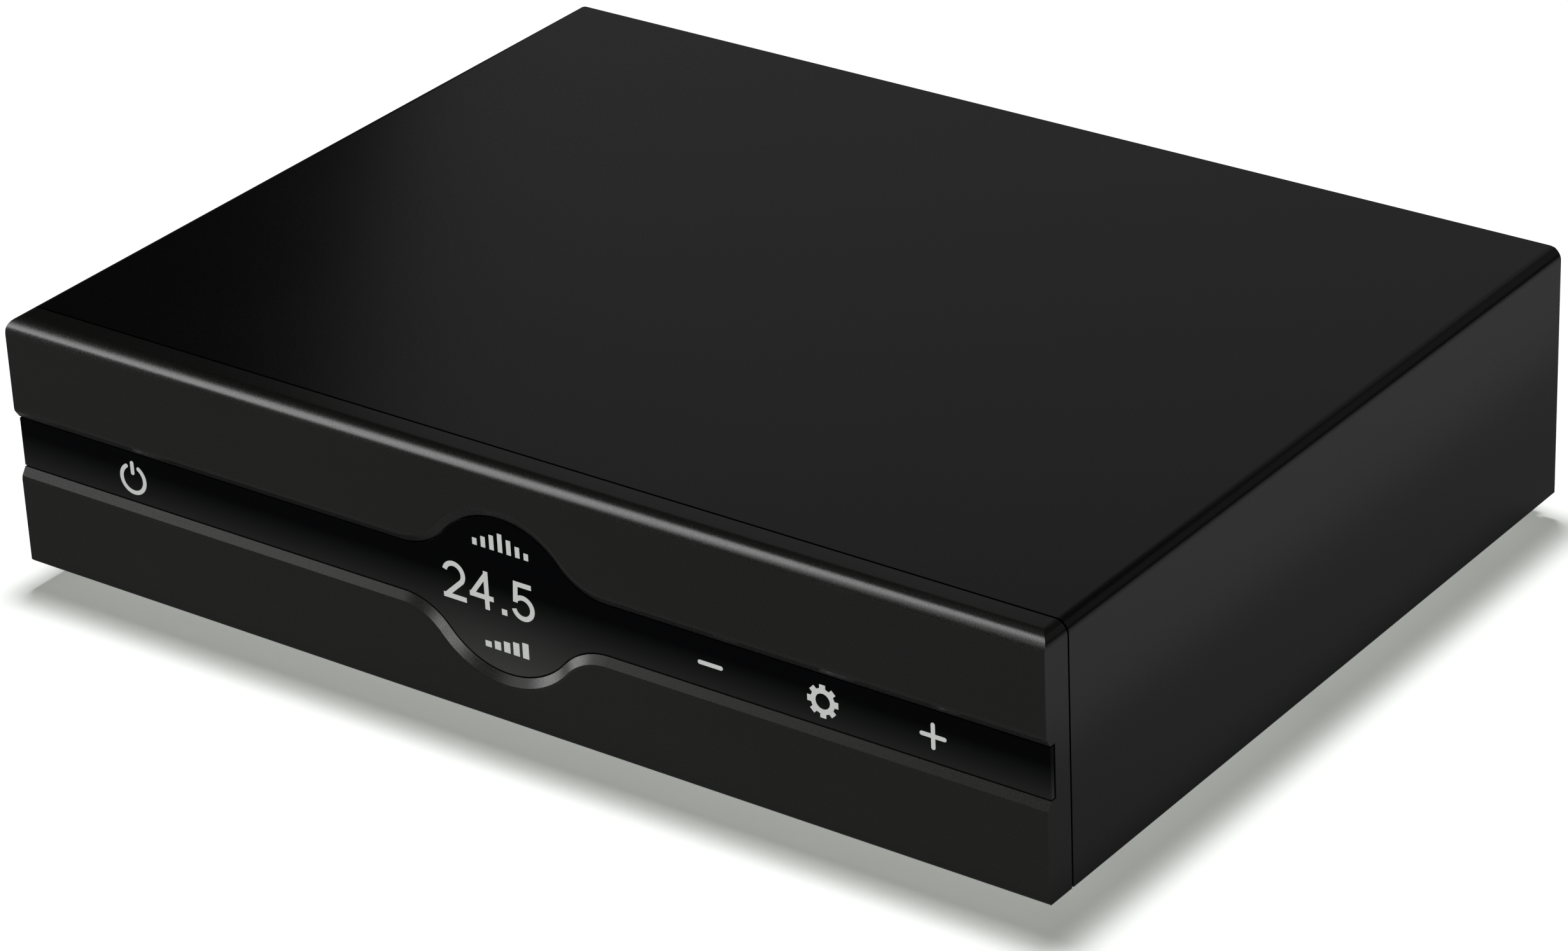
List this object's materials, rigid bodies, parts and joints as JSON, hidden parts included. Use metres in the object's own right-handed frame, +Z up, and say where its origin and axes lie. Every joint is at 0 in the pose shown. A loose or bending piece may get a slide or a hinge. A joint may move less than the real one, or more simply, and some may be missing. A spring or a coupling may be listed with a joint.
{
  "type": "desktop digital to analogue converter",
  "caption": "Low black aluminium desktop audio converter with a full-width glossy strip, round display bulge, touch keys and rear sockets.",
  "frame": {"origin": "on the standing surface, under the middle of the whole object", "axes": "+X to the right seen from the front, +Y towards the rear sockets, +Z up"},
  "size_m": [0.24, 0.19, 0.0592],
  "materials": {
    "anodised_black": "satin bead-blasted anodised, near black",
    "glossy_strip": "high gloss black",
    "white_print": "flat white print, lit from behind",
    "black_foam": "closed-cell foam",
    "dark_glass": "gloss",
    "gold_plate": "gold plated, polished",
    "green_board": "solder mask, semi gloss",
    "blue_board": "solder mask, semi gloss",
    "bright_screw": "zinc plated",
    "black_screw": "black oxide",
    "grey_steel": "fine-texture powder coat",
    "black_rubber": "matte rubber",
    "black_moulding": "fine spark-eroded texture",
    "black_shell": "black plated die casting",
    "plated_contact": "nickel plated",
    "fuse_glass": "clear with plated end caps",
    "white_moulding": "plain moulding",
    "port_steel": "tin plated sheet",
    "winding_tape": "wound film tape, slight sheen",
    "capacitor_sleeve": "shrink sleeve",
    "black_resin": "moulded resin",
    "dark_heatsink": "black anodised extrusion",
    "red_film": "dipped resin and wire sleeve",
    "grey_ribbon": "ribbed flat cable"
  },
  "bodies": {
    "chassis": {"front_panel": "anodised_black", "display_lens": "glossy_strip", "lens_adhesive": "black_foam", "touch_symbols": "white_print", "display_figures": "white_print", "display_module": "dark_glass", "touch_contacts": "gold_plate", "control_board": "green_board", "control_board_screws": "bright_screw", "panel_screws": "bright_screw", "top_cover": "anodised_black", "base_plate": "grey_steel", "rear_panel": "anodised_black", "base_screws": "black_screw", "rear_panel_screws": "black_screw", "foot_front_left": "black_rubber", "foot_front_right": "black_rubber", "foot_rear_left": "black_rubber", "foot_rear_right": "black_rubber", "foot_screws": "bright_screw", "mains_inlet": "black_moulding", "inlet_blades": "plated_contact", "power_switch_body": "black_moulding", "balanced_output_left": "black_shell", "balanced_output_right": "black_shell", "balanced_pins": "plated_contact", "balanced_screws": "bright_screw", "line_output_left": "gold_plate", "line_output_right": "gold_plate", "coaxial_input": "gold_plate", "socket_insulators": "white_moulding", "optical_input_one": "black_moulding", "optical_input_two": "black_moulding", "computer_port": "port_steel", "media_port": "port_steel", "network_port": "port_steel", "port_contacts": "white_moulding", "transformer_winding": "winding_tape", "transformer_pads": "black_foam", "transformer_washer": "bright_screw", "transformer_bolt": "bright_screw", "supply_board": "green_board", "reservoir_capacitors": "capacitor_sleeve", "bridge_rectifier": "black_resin", "regulators": "black_resin", "supply_heatsink": "dark_heatsink", "main_board": "blue_board", "board_standoffs": "gold_plate", "board_screws": "bright_screw", "board_chips": "black_resin", "processor_heatsink": "dark_heatsink", "output_relays": "white_moulding", "board_capacitors": "red_film", "ribbon_cable": "grey_ribbon", "internal_wires": "red_film"},
    "rocker": {"power_rocker": "black_moulding"},
    "fuse_tray": {"fuse_drawer": "black_moulding", "fuse": "fuse_glass"},
    "shutter_one": {"optical_shutter_one": "black_moulding"},
    "shutter_two": {"optical_shutter_two": "black_moulding"}
  },
  "joints": [
    {"name": "rocker_tilt", "type": "hinge", "parent": "chassis", "child": "rocker", "pos_m": [-0.065, 0.083, 0.031], "axis": [1, 0, 0], "range_deg": [0, 18]},
    {"name": "fuse_tray_slide", "type": "slide", "parent": "chassis", "child": "fuse_tray", "axis": [0, 1, 0], "range_m": [0, 0.022]},
    {"name": "shutter_one_swing", "type": "hinge", "parent": "chassis", "child": "shutter_one", "pos_m": [0.01, 0.0854, 0.0252], "axis": [-1, 0, 0], "range_deg": [0, 80], "stiffness_Nm_per_rad": 0.0004, "springref_deg": -20.05},
    {"name": "shutter_two_swing", "type": "hinge", "parent": "chassis", "child": "shutter_two", "pos_m": [-0.0035, 0.0854, 0.0252], "axis": [-1, 0, 0], "range_deg": [0, 80], "stiffness_Nm_per_rad": 0.0004, "springref_deg": -20.05}
  ]
}
